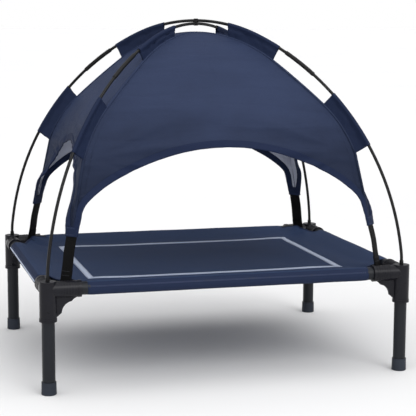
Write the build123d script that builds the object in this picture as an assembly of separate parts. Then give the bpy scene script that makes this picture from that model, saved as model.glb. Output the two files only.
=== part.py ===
"""Raised dog bed: push-fit tube frame, taut mat and a domed canopy on two crossed poles.

Frame: origin on the floor at the centre of the four legs, +X along the long side, +Y to the back,
+Z up. Millimetres.
"""
from build123d import *
import math
import os

# ---- frame and legs -----------------------------------------------------------------
LEG_SPAN_X = 728.0          # between leg axes, long side
LEG_SPAN_Y = 558.0          # between leg axes, short side
TUBE_R = 12.7               # one inch tube
TUBE_WALL = 0.8
SLIP = 0.05                 # radial clearance of a tube or tip in its socket
HUB_TOP = 222.0
HUB_BOTTOM = 144.0
HUB_R = 16.5
HUB_RIM_R = 17.3
HUB_RIM_H = 6.0
LEG_TOP = 190.0
RAIL_Z = 205.5
ARM_R = 15.5                # horizontal sleeve of the corner connector
ARM_LENGTH = 64.0           # from the leg axis to the sleeve's mouth
ARM_BLIND = 18.0            # from the leg axis to the end of the rail
ARM_COLLAR_R = 16.6
ARM_COLLAR_W = 6.0
ARM_RIB_R = 16.1
ARM_RIB_W = 2.6
ARM_RIB_FIRST = 27.0
ARM_RIB_PITCH = 5.4
ARM_RIBS = 6
WEB_HALF_T = 3.5
FOOT_R = 14.9
FOOT_TOP_R = 14.4
FOOT_H = 25.0
FOOT_SOLE = 3.0
FOOT_EDGE = 2.0

# ---- mat ------------------------------------------------------------------------------
CLOTH_T = 1.6               # doubled mat cloth
HEM_HOLE_R = TUBE_R + 0.1
HEM_R = 14.0
HEM_DEPTH = 55.0            # rail axis to the hem's stitching
FRONT_HEM_GAP = 76.0        # leg axis to the end of a front or back hem
SIDE_HEM_GAP = 86.0         # leg axis to the end of a side hem
MAT_CORNER_S = 405.5        # bed centre to the rounded mat corner, along the diagonal
TAPE_X = 270.0
TAPE_Y = 189.0
TAPE_W = 13.5
TAPE_T = 0.5
PIPING_T = 1.0
PIPING_H = 4.0

# ---- poles --------------------------------------------------------------------------
POLE_R = 3.15
POLE_A_CROWN = 714.5        # front right to back left, on top
POLE_B_CROWN = 708.0        # front left to back right, underneath
POLE_BASE_ARC_R = 150.0
POLE_BASE_ANGLE = 7.0       # tangent angle from the vertical where the main arc starts
POLE_CROWN_ANGLE = 65.0     # tangent angle where the crown arc starts
TIP_R = 4.2
TIP_BOTTOM = 194.0
TIP_TOP = 230.0
TIP_FLOOR = 4.0
FERRULE_R = 4.4
FERRULE_S = 234.0           # bed centre to the ferrule's middle, along the diagonal
FERRULE_LENGTH = 75.0
CLIP_R = 5.0
CLIP_H = 15.0

# ---- canopy ---------------------------------------------------------------------------
CANOPY_T = 1.0
CROWN_Z = 690.0
TIP_S = 392.0               # lowest corner of the canopy cloth, along the diagonal
TIP_Z = 301.0
UPPER_SLEEVE = ((74.0, 23.0), (188.0, 26.6))     # (pole s, drop from pole to ridge) at each end
LOWER_SLEEVE = ((306.0, 27.5), (384.0, 31.6))
SLEEVE_T = 2.0
SLEEVE_R = 4.4
SLEEVE_LIFT = 0.2           # sleeve's foot above the ridge line
FRONT_ARCH = ((0.0, 463.0), (230.0, 401.0), (293.0, 326.0), (306.0, TIP_Z))
SIDE_ARCH = ((0.0, 467.0), (150.0, 413.0), (200.0, 340.0), (212.0, TIP_Z))
HEM_W = 13.0
HEM_T = 2.0

# ---- straps ---------------------------------------------------------------------------
STRAP_W = 25.0
STRAP_T = 1.6
STRAP_END_S = 411.0
STRAP_END_Z = 207.0
ANCHOR_T = 1.5
ANCHOR_TOP = 238.0
ANCHOR_FOOT = 27.0          # from the tab's bend to the end stitched under the mat corner
BODY_GAP = 0.3

HALF_X = LEG_SPAN_X / 2
HALF_Y = LEG_SPAN_Y / 2
DIAGONAL = math.hypot(HALF_X, HALF_Y)
COS_D = HALF_X / DIAGONAL
SIN_D = HALF_Y / DIAGONAL
CORNERS = {
    "front_left": (-1, -1),
    "front_right": (1, -1),
    "back_left": (-1, 1),
    "back_right": (1, 1),
}


def save(shape, name):
    """Write one node."""
    export_step(shape, f"parts/{name}.step")


def cylinder_between(radius, low, high):
    """Upright cylinder on the Z axis from one height to another."""
    return Pos(0, 0, low) * Cylinder(radius, high - low, align=(Align.CENTER, Align.CENTER, Align.MIN))


def arm_cylinder(radius, near, far):
    """Cylinder along -X at rail height, from one distance off the leg axis to another."""
    blank = Cylinder(radius, far - near, align=(Align.CENTER, Align.CENTER, Align.MIN))
    return Pos(-near, 0, RAIL_Z) * Rot(0, -90, 0) * blank


def to_corner(shape, corner):
    """Copy a shape made for the back right corner, at the leg axis, to a named corner."""
    side_x, side_y = CORNERS[corner]
    if side_x < 0:
        shape = mirror(shape, about=Plane.YZ)
    if side_y < 0:
        shape = mirror(shape, about=Plane.XZ)
    return Pos(side_x * HALF_X, side_y * HALF_Y, 0) * shape


def on_diagonal(shape, corner):
    """Turn a shape made in the XZ plane, with +X as the diagonal, towards a corner."""
    side_x, side_y = CORNERS[corner]
    return Rot(0, 0, math.degrees(math.atan2(side_y * HALF_Y, side_x * HALF_X))) * shape


def plate(outline, thickness):
    """Extrude a closed outline drawn in the XZ plane evenly to both sides of it."""
    return extrude(Plane.XZ * make_face(outline), thickness / 2, both=True)


# ---- corner connector -------------------------------------------------------------------
def connector_web():
    """Scalloped bracket web under one arm, from the leg sleeve to the arm's collar."""
    outline = [
        Line((0, RAIL_Z), (-63, RAIL_Z)),
        Line((-63, RAIL_Z), (-63, 191)),
        ThreePointArc((-63, 191), (-53, 188.5), (-45.5, 182)),
        ThreePointArc((-45.5, 182), (-32, 174.5), (-26, 160)),
        Line((-26, 160), (-14, 150)),
        Line((-14, 150), (0, 150)),
        Line((0, 150), (0, RAIL_Z)),
    ]
    return plate(outline, 2 * WEB_HALF_T)


def connector_arm():
    """One horizontal sleeve with its grip ribs and end collar."""
    arm = arm_cylinder(ARM_R, 0, ARM_LENGTH)
    for index in range(ARM_RIBS):
        start = ARM_RIB_FIRST + index * ARM_RIB_PITCH
        arm += arm_cylinder(ARM_RIB_R, start, start + ARM_RIB_W)
    arm += arm_cylinder(ARM_COLLAR_R, ARM_LENGTH - ARM_COLLAR_W, ARM_LENGTH)
    return arm + connector_web()


def corner_connector():
    """Three-way moulding: leg socket below, two rail sockets, pole socket in the top."""
    body = cylinder_between(HUB_R, HUB_BOTTOM, HUB_TOP)
    body += cylinder_between(HUB_RIM_R, HUB_BOTTOM, HUB_BOTTOM + HUB_RIM_H)
    body = fillet(body.edges().group_by(Axis.Z)[-1], 1.2)
    arm = connector_arm()
    body += arm
    body += Rot(0, 0, 90) * arm
    socket = arm_cylinder(TUBE_R + SLIP, ARM_BLIND, ARM_LENGTH + 1)
    body -= socket
    body -= Rot(0, 0, 90) * socket
    body -= cylinder_between(TUBE_R + SLIP, HUB_BOTTOM - 1, LEG_TOP)
    body -= cylinder_between(TIP_R + SLIP, TIP_BOTTOM, HUB_TOP + 1)
    return body


# ---- tubes and feet ------------------------------------------------------------------
def rail(half_span):
    """Rail tube along X at rail height, ending blind in the connectors."""
    half_length = half_span - ARM_BLIND - 0.5
    ring = Circle(TUBE_R) - Circle(TUBE_R - TUBE_WALL)
    return Pos(0, 0, RAIL_Z) * extrude(Plane.YZ * ring, half_length, both=True)


def leg_tube():
    return cylinder_between(TUBE_R, FOOT_SOLE, LEG_TOP) - cylinder_between(
        TUBE_R - TUBE_WALL, FOOT_SOLE, LEG_TOP)


def foot_cap():
    """Tapered cap with a rounded sole edge, pushed over the end of the leg."""
    outer = Cone(FOOT_R, FOOT_TOP_R, FOOT_H, align=(Align.CENTER, Align.CENTER, Align.MIN))
    outer = fillet(outer.edges().group_by(Axis.Z)[0], FOOT_EDGE)
    return outer - cylinder_between(TUBE_R + SLIP, FOOT_SOLE, FOOT_H)


# ---- mat ------------------------------------------------------------------------------
def mat_hem(half_length):
    """Teardrop pocket round a rail along X, its stitched tail pointing to -Y."""
    reach = math.acos(HEM_R / HEM_DEPTH)
    touch_y = -HEM_R * math.cos(reach)
    touch_z = HEM_R * math.sin(reach)
    tail = make_face(Polyline(
        (touch_y, touch_z), (-HEM_DEPTH, CLOTH_T / 2), (-HEM_DEPTH, -CLOTH_T / 2),
        (touch_y, -touch_z), close=True))
    profile = Circle(HEM_R) + tail - Circle(HEM_HOLE_R)
    return Pos(0, 0, RAIL_Z) * extrude(Plane.YZ * profile, half_length, both=True)


def mat_panel():
    """Flat sheet between the hem seams, with a rounded tongue at each corner."""
    seam_x = HALF_X - HEM_DEPTH
    seam_y = HALF_Y - HEM_DEPTH
    sheet = Rectangle(2 * seam_x, 2 * seam_y)
    end_x = HALF_X - FRONT_HEM_GAP + BODY_GAP
    end_y = HALF_Y - SIDE_HEM_GAP + BODY_GAP
    low = (end_x, HALF_Y - 17.0)
    middle = (MAT_CORNER_S * COS_D, MAT_CORNER_S * SIN_D)
    high = (HALF_X - 17.0, end_y)
    tongue = make_face([
        Line((end_x, end_y), (end_x, HALF_Y - 17.0)),
        ThreePointArc(low, middle, high),
        Line(high, (end_x, end_y)),
    ])
    corner = Pos(seam_x, seam_y) * Rectangle(
        2 * (seam_x - end_x), 2 * (seam_y - end_y))
    quarter = sheet - corner + tongue
    for corner_copy in (mirror(corner, about=Plane.YZ), mirror(corner, about=Plane.XZ),
                        mirror(mirror(corner, about=Plane.YZ), about=Plane.XZ)):
        quarter -= corner_copy
    for tongue_copy in (mirror(tongue, about=Plane.YZ), mirror(tongue, about=Plane.XZ),
                        mirror(mirror(tongue, about=Plane.YZ), about=Plane.XZ)):
        quarter += tongue_copy
    return Pos(0, 0, RAIL_Z) * extrude(quarter, CLOTH_T / 2, both=True)


def mat_trim_tape():
    """Light tape stitched on the mat as a rectangle."""
    ring = Rectangle(2 * TAPE_X, 2 * TAPE_Y) - Rectangle(
        2 * (TAPE_X - TAPE_W), 2 * (TAPE_Y - TAPE_W))
    return Pos(0, 0, RAIL_Z + CLOTH_T / 2) * extrude(ring, TAPE_T)


def mat_piping():
    """Flat light piping along the outer face of the right hem."""
    length = LEG_SPAN_Y - 2 * SIDE_HEM_GAP
    strip = Box(PIPING_T, length, PIPING_H, align=(Align.MIN, Align.CENTER, Align.CENTER))
    return Pos(HALF_X + HEM_R + 0.05, 0, RAIL_Z + 1) * strip


# ---- poles --------------------------------------------------------------------------
def pole_radii(crown_z):
    """Radii of the main arc and the crown arc that take the pole from its tip to its crown."""
    base = math.radians(POLE_BASE_ANGLE)
    top = math.radians(POLE_CROWN_ANGLE)
    across = DIAGONAL - POLE_BASE_ARC_R * (1 - math.cos(base))
    up = crown_z - TIP_TOP - POLE_BASE_ARC_R * math.sin(base)
    a, b = math.cos(base) - math.cos(top), math.cos(top)
    c, d = math.sin(top) - math.sin(base), 1 - math.sin(top)
    det = a * d - b * c
    return (across * d - b * up) / det, (a * up - c * across) / det


def pole_point(crown_z, angle):
    """Point (s, z) on the pole's centreline where its tangent is this far from the vertical."""
    main_r, crown_r = pole_radii(crown_z)
    turn = math.radians(angle)
    if angle >= POLE_CROWN_ANGLE:
        return crown_r * math.cos(turn), crown_z - crown_r * (1 - math.sin(turn))
    top = math.radians(POLE_CROWN_ANGLE)
    if angle >= POLE_BASE_ANGLE:
        start_s, start_z = pole_point(crown_z, POLE_CROWN_ANGLE)
        return (start_s + main_r * (math.cos(turn) - math.cos(top)),
                start_z - main_r * (math.sin(top) - math.sin(turn)))
    return (DIAGONAL - POLE_BASE_ARC_R * (1 - math.cos(turn)),
            TIP_TOP + POLE_BASE_ARC_R * math.sin(turn))


def pole_angle(crown_z, s):
    """Tangent angle at a distance s from the bed's centre, above the base arc."""
    main_r, crown_r = pole_radii(crown_z)
    knee_s = pole_point(crown_z, POLE_CROWN_ANGLE)[0]
    if s <= knee_s:
        return math.degrees(math.acos(s / crown_r))
    cosine = math.cos(math.radians(POLE_CROWN_ANGLE)) + (s - knee_s) / main_r
    return math.degrees(math.acos(cosine))


def pole_edges(crown_z, start, end):
    """Arcs of the centreline from one tangent angle to another, in the XZ plane."""
    stops = [start]
    for knee in (POLE_BASE_ANGLE, POLE_CROWN_ANGLE):
        if start < knee < end:
            stops.append(knee)
    stops.append(end)
    edges = []
    for low, high in zip(stops, stops[1:]):
        points = [pole_point(crown_z, angle) for angle in (low, (low + high) / 2, high)]
        edges.append(ThreePointArc(*[(s, 0, z) for s, z in points]))
    return edges


def tube_along(edges, radius, hole=0.0):
    """Round rod, or tube, swept along joined edges."""
    path = Wire(edges)
    face = Plane(origin=path @ 0, z_dir=path % 0) * Circle(radius)
    if hole:
        face -= Plane(origin=path @ 0, z_dir=path % 0) * Circle(hole)
    return sweep(face, path=path)


def pole_lower(crown_z):
    """End segment, from inside its tip up to the middle of the ferrule."""
    foot = Line((DIAGONAL, 0, TIP_BOTTOM + TIP_FLOOR), (DIAGONAL, 0, TIP_TOP))
    joint = pole_angle(crown_z, FERRULE_S) - 0.02
    return tube_along([foot] + pole_edges(crown_z, 0, joint), POLE_R)


def pole_middle(crown_z):
    """Middle segment, from ferrule to ferrule over the crown."""
    joint = pole_angle(crown_z, FERRULE_S) + 0.02
    half = tube_along(pole_edges(crown_z, joint, 90), POLE_R)
    return half + mirror(half, about=Plane.YZ)


def ferrule(crown_z):
    """Sleeve that joins two pole segments."""
    middle = pole_angle(crown_z, FERRULE_S)
    reach = math.degrees(FERRULE_LENGTH / 2 / pole_radii(crown_z)[0])
    edges = pole_edges(crown_z, middle - reach, middle + reach)
    return tube_along(edges, FERRULE_R, POLE_R + SLIP)


def pole_tip():
    """Moulded tip that stands in the connector's top socket."""
    tip = cylinder_between(TIP_R, TIP_BOTTOM, TIP_TOP)
    tip -= cylinder_between(POLE_R + SLIP, TIP_BOTTOM + TIP_FLOOR, TIP_TOP)
    return Pos(DIAGONAL, 0, 0) * tip


def crossing_clip():
    """Moulded saddle that holds the two poles where they cross."""
    middle = (POLE_A_CROWN + POLE_B_CROWN) / 2
    clip = cylinder_between(CLIP_R, middle - CLIP_H / 2, middle + CLIP_H / 2)
    clip = fillet(clip.edges(), 1.5)
    for crown_z, corner in ((POLE_A_CROWN, "back_left"), (POLE_B_CROWN, "front_left")):
        half = tube_along(pole_edges(crown_z, 87, 90), POLE_R + SLIP)
        bore = on_diagonal(half + mirror(half, about=Plane.YZ), corner)
        clip -= bore
    return clip


# ---- canopy ---------------------------------------------------------------------------
def ridge_point(sleeve_end):
    """Ridge point (s, z) below one end of a pole sleeve."""
    s, drop = sleeve_end
    crown_z = (POLE_A_CROWN + POLE_B_CROWN) / 2
    angle = pole_angle(crown_z, s)
    pole_s, pole_z = pole_point(crown_z, angle)
    turn = math.radians(angle)
    return pole_s - drop * math.cos(turn), pole_z - drop * math.sin(turn)


def canopy_outline(scale):
    """Region under the canopy's profile from tip to tip, with s scaled by scale."""
    knots = [(0.0, CROWN_Z)]
    knots += [ridge_point(end) for end in (UPPER_SLEEVE[1], LOWER_SLEEVE[0], LOWER_SLEEVE[1])]
    points = [(s * scale, z) for s, z in knots]
    tip = (TIP_S * scale, TIP_Z)
    edges = []
    heading = (1, 0)
    for start, end in zip(points, points[1:]):
        arc = TangentArc(start, end, tangent=heading)
        heading = arc % 1
        edges.append(arc)
    low = TIP_Z - 60
    edges.append(Line(points[-1], tip))
    edges.append(Line(tip, (tip[0], low)))
    other_half = [mirror(edge, about=Plane.YZ) for edge in edges]
    return make_face(edges + other_half + [Line((-tip[0], low), (tip[0], low))])


def arch_outline(knots, grow=0.0):
    """Region of an arched mouth, both halves, in (across, z)."""
    low = TIP_Z - 60
    last = knots[-1]
    half = []
    heading = (1, 0)
    for start, end in zip(knots[:-1], knots[1:-1]):
        arc = TangentArc(start, end, tangent=heading)
        heading = arc % 1
        half.append(arc)
    half.append(Line(knots[-2], last))
    half.append(Line(last, (last[0], low)))
    other_half = [mirror(edge, about=Plane.YZ) for edge in half]
    mouth = make_face(half + other_half + [Line((-last[0], low), (last[0], low))])
    return offset(mouth, grow) if grow else mouth


def canopy_layer(scale, outside, inside, half_width):
    """Curved sheet along Y: the profile in XZ, thickened between two offsets."""
    outline = canopy_outline(scale)
    outer = offset(outline, outside) if outside else outline
    shell = outer - offset(outline, -inside)
    return extrude(Plane.XZ * shell, half_width, both=True)


def canopy_side(scale, across, arch):
    """Panel and hem of one side, made as the side that faces +X."""
    reach = TIP_S * 1.1
    wedge_face = make_face(Polyline(
        (0, 0), (reach * scale, -reach * across), (reach * scale, reach * across), close=True))
    wedge = Pos(0, 0, TIP_Z) * extrude(wedge_face, CROWN_Z)
    mouth = extrude(Plane.YZ * arch_outline(arch), 500)
    hem_mouth = extrude(Plane.YZ * arch_outline(arch, HEM_W), 500)
    half_width = reach * across
    panel = (canopy_layer(scale, 0, CANOPY_T, half_width) & wedge) - hem_mouth
    rim = (HEM_T - CANOPY_T) / 2
    hem = (canopy_layer(scale, rim, CANOPY_T + rim, half_width) & wedge & hem_mouth) - mouth
    return panel, hem


def canopy_core():
    """Both canopy profiles run right through, grown so that a sleeve's foot stands just clear."""
    side = extrude(Plane.XZ * offset(canopy_outline(COS_D), SLEEVE_LIFT), 500, both=True)
    front = extrude(Plane.YZ * offset(canopy_outline(SIN_D), SLEEVE_LIFT), 500, both=True)
    return side + front


def pole_sleeve(ends, crown_z):
    """Flat doubled flap down past the ridge, closed round the pole at its outer edge."""
    angles = [pole_angle(crown_z, s) for s, _ in ends]
    arcs = pole_edges(crown_z, angles[1], angles[0])
    feet = [ridge_point(end) for end in ends]
    tops = [pole_point(crown_z, angle) for angle in angles]
    band = make_face(
        [Edge.make_line((s0, 0, z0), (s1, 0, z1)) for (s0, z0), (s1, z1) in (
            (tops[0], stretch(tops[0], feet[0])),
            (stretch(tops[0], feet[0]), stretch(tops[1], feet[1])),
            (stretch(tops[1], feet[1]), tops[1]))] + arcs)
    flap = extrude(band, SLEEVE_T / 2, both=True) + tube_along(arcs, SLEEVE_R)
    return flap - tube_along(pole_edges(crown_z, angles[1] - 2, angles[0] + 2), POLE_R + 0.1)


def stretch(top, foot):
    """Point 20 mm beyond the foot on the line from the top."""
    length = math.dist(top, foot)
    factor = 1 + 20.0 / length
    return top[0] + (foot[0] - top[0]) * factor, top[1] + (foot[1] - top[1]) * factor


# ---- straps ---------------------------------------------------------------------------
def strap_frame():
    """Start, unit direction downwards and inward unit normal of the corner strap."""
    start = (TIP_S, TIP_Z - BODY_GAP)
    length = math.dist(start, (STRAP_END_S, STRAP_END_Z))
    down = ((STRAP_END_S - start[0]) / length, (STRAP_END_Z - start[1]) / length)
    return start, down, (down[1], -down[0]), length


def strap_band(near, far, inner, outer):
    """Band along the strap's line between two distances and two normal offsets."""
    start, down, inward, _ = strap_frame()
    corners = [
        (start[0] + down[0] * along + inward[0] * side, start[1] + down[1] * along + inward[1] * side)
        for along, side in ((near, outer), (far, outer), (far, inner), (near, inner))]
    return extrude(Plane.XZ * make_face(Polyline(*corners, close=True)), STRAP_W / 2, both=True)


def corner_strap():
    """Webbing from the canopy's corner down to the mat's corner."""
    length = strap_frame()[3]
    return strap_band(0, length, STRAP_T / 2, -STRAP_T / 2)


def strap_anchor():
    """Webbing tab stitched under the mat corner, rising behind the strap."""
    start, down, inward, length = strap_frame()
    near = (start[1] - ANCHOR_TOP) / -down[1]
    under = RAIL_Z - CLOTH_T / 2 - BODY_GAP / 3
    far = length + (STRAP_END_Z - under + ANCHOR_T) / -down[1]
    inner_side = STRAP_T / 2 + BODY_GAP
    tab = strap_band(near, far, inner_side + ANCHOR_T, inner_side)
    bend_s = start[0] + down[0] * far + inward[0] * (inner_side + ANCHOR_T / 2)
    foot = Box(ANCHOR_FOOT, STRAP_W, ANCHOR_T, align=(Align.MAX, Align.CENTER, Align.MAX))
    return tab + Pos(bend_s, 0, under) * foot


def main():
    os.makedirs("parts", exist_ok=True)

    connector = corner_connector()
    leg = leg_tube()
    cap = foot_cap()
    for corner in CORNERS:
        save(to_corner(connector, corner), f"corner_connector_{corner}")
        save(to_corner(leg, corner), f"leg_tube_{corner}")
        save(to_corner(cap, corner), f"foot_cap_{corner}")
        save(on_diagonal(corner_strap(), corner), f"corner_strap_{corner}")
        save(on_diagonal(strap_anchor(), corner), f"strap_anchor_{corner}")

    long_rail = rail(HALF_X)
    short_rail = Rot(0, 0, 90) * rail(HALF_Y)
    long_hem = mat_hem(HALF_X - FRONT_HEM_GAP)
    short_hem = Rot(0, 0, -90) * mat_hem(HALF_Y - SIDE_HEM_GAP)
    save(Pos(0, -HALF_Y, 0) * long_rail, "rail_front")
    save(Pos(0, HALF_Y, 0) * long_rail, "rail_back")
    save(Pos(-HALF_X, 0, 0) * short_rail, "rail_left")
    save(Pos(HALF_X, 0, 0) * short_rail, "rail_right")
    save(Pos(0, HALF_Y, 0) * long_hem, "mat_hem_back")
    save(Pos(0, -HALF_Y, 0) * mirror(long_hem, about=Plane.XZ), "mat_hem_front")
    save(Pos(HALF_X, 0, 0) * short_hem, "mat_hem_right")
    save(Pos(-HALF_X, 0, 0) * mirror(short_hem, about=Plane.YZ), "mat_hem_left")
    save(mat_panel(), "mat_panel")
    save(mat_trim_tape(), "mat_trim_tape")
    piping = mat_piping()
    save(piping, "mat_piping_right")
    save(mirror(piping, about=Plane.YZ), "mat_piping_left")

    core = canopy_core()
    poles = {
        "a": (POLE_A_CROWN, "front_right", "back_left"),
        "b": (POLE_B_CROWN, "front_left", "back_right"),
    }
    for pole, (crown_z, front, back) in poles.items():
        lower = pole_lower(crown_z)
        sleeve = ferrule(crown_z)
        save(on_diagonal(pole_middle(crown_z), back), f"pole_{pole}_middle")
        save(Compound([on_diagonal(sleeve, front), on_diagonal(sleeve, back)]), f"pole_{pole}_ferrules")
        save(Compound([on_diagonal(pole_tip(), front), on_diagonal(pole_tip(), back)]), f"pole_{pole}_tips")
        for corner in (front, back):
            save(on_diagonal(lower, corner), f"pole_{corner}")
            for level, ends in (("upper", UPPER_SLEEVE), ("lower", LOWER_SLEEVE)):
                flap = on_diagonal(pole_sleeve(ends, crown_z), corner) - core
                save(flap, f"{level}_sleeve_{corner}")
    save(crossing_clip(), "crossing_clip")

    side_panel, side_hem = canopy_side(COS_D, SIN_D, SIDE_ARCH)
    front_panel, front_hem = canopy_side(SIN_D, COS_D, FRONT_ARCH)
    turns = {"right": (0, side_panel, side_hem), "back": (90, front_panel, front_hem),
             "left": (180, side_panel, side_hem), "front": (270, front_panel, front_hem)}
    for side, (turn, panel, hem) in turns.items():
        save(Rot(0, 0, turn) * panel, f"canopy_panel_{side}")
        save(Rot(0, 0, turn) * hem, f"canopy_hem_{side}")


main()
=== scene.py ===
"""Looks of the raised dog bed with canopy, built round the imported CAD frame. Metres, +Z up."""

import math

import bmesh
import bpy
import numpy as np
from mathutils import Matrix, Vector, noise


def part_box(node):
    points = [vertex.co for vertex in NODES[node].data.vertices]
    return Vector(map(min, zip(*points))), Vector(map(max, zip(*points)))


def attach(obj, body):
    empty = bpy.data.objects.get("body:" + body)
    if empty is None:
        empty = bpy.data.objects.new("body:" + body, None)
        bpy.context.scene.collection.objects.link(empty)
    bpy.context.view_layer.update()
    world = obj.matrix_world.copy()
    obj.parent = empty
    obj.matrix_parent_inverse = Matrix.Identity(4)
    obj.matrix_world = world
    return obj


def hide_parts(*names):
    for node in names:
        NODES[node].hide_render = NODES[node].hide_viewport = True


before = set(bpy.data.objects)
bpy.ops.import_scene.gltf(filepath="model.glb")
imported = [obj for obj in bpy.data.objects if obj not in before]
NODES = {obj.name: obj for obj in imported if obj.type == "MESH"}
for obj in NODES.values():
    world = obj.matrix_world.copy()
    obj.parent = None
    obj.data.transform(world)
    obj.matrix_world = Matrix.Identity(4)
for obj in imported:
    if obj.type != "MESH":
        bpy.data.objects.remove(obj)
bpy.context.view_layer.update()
CORNERS = {
    "front_left": (-1, -1),
    "front_right": (1, -1),
    "back_left": (-1, 1),
    "back_right": (1, 1),
}

# ---- sizes read from the frame ------------------------------------------------------------
LEG_LOW, LEG_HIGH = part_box("leg_tube_back_right")
HALF_X = (LEG_LOW.x + LEG_HIGH.x) / 2
HALF_Y = (LEG_LOW.y + LEG_HIGH.y) / 2
DIAGONAL = math.hypot(HALF_X, HALF_Y)
COS_D = HALF_X / DIAGONAL
SIN_D = HALF_Y / DIAGONAL
RAIL_Z = (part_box("rail_front")[0].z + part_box("rail_front")[1].z) / 2
POLE_R = 0.00315
CROWN_POLE_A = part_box("pole_a_middle")[1].z - POLE_R
CROWN_POLE_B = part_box("pole_b_middle")[1].z - POLE_R
TIP_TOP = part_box("pole_a_tips")[1].z
CROWN_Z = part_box("canopy_panel_front")[1].z
CORNER_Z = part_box("canopy_hem_left")[0].z
CORNER_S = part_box("canopy_panel_right")[1].x / COS_D
FRONT_HEM_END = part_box("mat_hem_front")[1].x
SIDE_HEM_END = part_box("mat_hem_right")[1].y
HEM_R = RAIL_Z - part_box("mat_hem_front")[0].z
HEM_SEAM = HALF_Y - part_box("mat_hem_back")[0].y
STRAP_LOW_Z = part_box("corner_strap_back_right")[0].z
TAPE_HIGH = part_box("mat_trim_tape")[1]

# ---- canopy shape, as in the CAD ----------------------------------------------------------
POLE_BASE_ARC_R = 0.150
POLE_BASE_ANGLE = math.radians(7)
POLE_CROWN_ANGLE = math.radians(65)
UPPER_SLEEVE = ((0.074, 0.0230), (0.188, 0.0266))
LOWER_SLEEVE = ((0.306, 0.0275), (0.384, 0.0316))
FRONT_ARCH = ((0.0, 0.463), (0.230, 0.401), (0.2745, 0.366), (0.288, 0.334), (0.297, 0.301))
SIDE_ARCH = ((0.0, 0.467), (0.150, 0.413), (0.203, 0.345), (0.2245, 0.301))
HEM_W = 0.013
STRAP_W = 0.025
ROOT_HALF = math.sqrt(0.5)
RAY_STEP = 15.0
STRAP_END_S = 0.411

# ---- camera, on the photograph's side of the bed ------------------------------------------
CAMERA_AT = (-0.7148, -2.7044, 0.7179)
CAMERA_YAW = math.radians(-15.373)
CAMERA_PITCH = math.radians(8.266)
CAMERA_ROLL = math.radians(0.271)
CAMERA_LENS = 112.6


# ==== small tools ==========================================================================
def link(obj):
    bpy.context.scene.collection.objects.link(obj)
    return obj


def mesh_piece(name, points, faces, uvs=None, material=None):
    """Smooth mesh object from points and faces, with metric cloth coordinates if given."""
    mesh = bpy.data.meshes.new(name)
    mesh.from_pydata([tuple(p) for p in points], [], [tuple(f) for f in faces])
    mesh.update()
    if uvs is not None:
        layer = mesh.uv_layers.new(name="Cloth")
        index = np.zeros(len(mesh.loops), np.int32)
        mesh.loops.foreach_get("vertex_index", index)
        layer.data.foreach_set("uv", np.asarray(uvs, np.float32)[index].ravel())
    mesh.polygons.foreach_set("use_smooth", [True] * len(mesh.polygons))
    if material is not None:
        mesh.materials.append(material)
    return link(bpy.data.objects.new(name, mesh))


def grid_faces(rows, columns, close_columns=False):
    """Quads of a rows x columns grid of points, optionally wrapped round each row."""
    faces = []
    for i in range(rows - 1):
        for j in range(columns if close_columns else columns - 1):
            k, m = i + 1, (j + 1) % columns
            faces.append((i * columns + j, i * columns + m, k * columns + m, k * columns + j))
    return faces


def capped_faces(rows, columns):
    """Faces of a closed tube of rows of points, with both ends filled."""
    faces = grid_faces(rows, columns, close_columns=True)
    faces.append(tuple(range(columns)))
    faces.append(tuple((rows - 1) * columns + i for i in reversed(range(columns))))
    return faces


def solidify(obj, thickness, offset=0.0, inner_material=None):
    modifier = obj.modifiers.new("thickness", "SOLIDIFY")
    modifier.thickness = thickness
    modifier.offset = offset
    modifier.use_even_offset = False
    if inner_material is not None:
        obj.data.materials.append(inner_material)
        modifier.material_offset = 1


def merge_close(obj, distance=0.0002):
    """Weld points that meet, such as two panels along their seam."""
    mesh = bmesh.new()
    mesh.from_mesh(obj.data)
    bmesh.ops.remove_doubles(mesh, verts=mesh.verts, dist=distance)
    mesh.to_mesh(obj.data)
    mesh.free()


def join(name, objects):
    """Join several mesh objects into one named piece."""
    bpy.ops.object.select_all(action="DESELECT")
    for obj in objects:
        obj.select_set(True)
    bpy.context.view_layer.objects.active = objects[0]
    bpy.ops.object.join()
    objects[0].name = name
    objects[0].data.name = name
    return objects[0]


def ripple(x, y, z, scale, seed=0.0):
    """Smooth noise in -1..1 at a point."""
    return noise.noise(Vector((x * scale + seed, y * scale - seed, z * scale + 0.5 * seed)))


def smoothstep(low, high, value):
    """0 at low, 1 at high, with an easy start and end between them."""
    t = min(1.0, max(0.0, (value - low) / (high - low)))
    return t * t * (3 - 2 * t)


def upward(z):
    return Vector((0, 0, z))


# ==== materials ============================================================================
def shade(colour, factor):
    return tuple(min(1.0, channel * factor) for channel in colour)


def linear(red, green, blue):
    """Linear colour of an 8-bit sRGB one."""
    return tuple(
        c / 12.92 if c <= 0.04045 else ((c + 0.055) / 1.055) ** 2.4
        for c in (red / 255, green / 255, blue / 255))


WHITE = (1.0, 1.0, 1.0)


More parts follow.
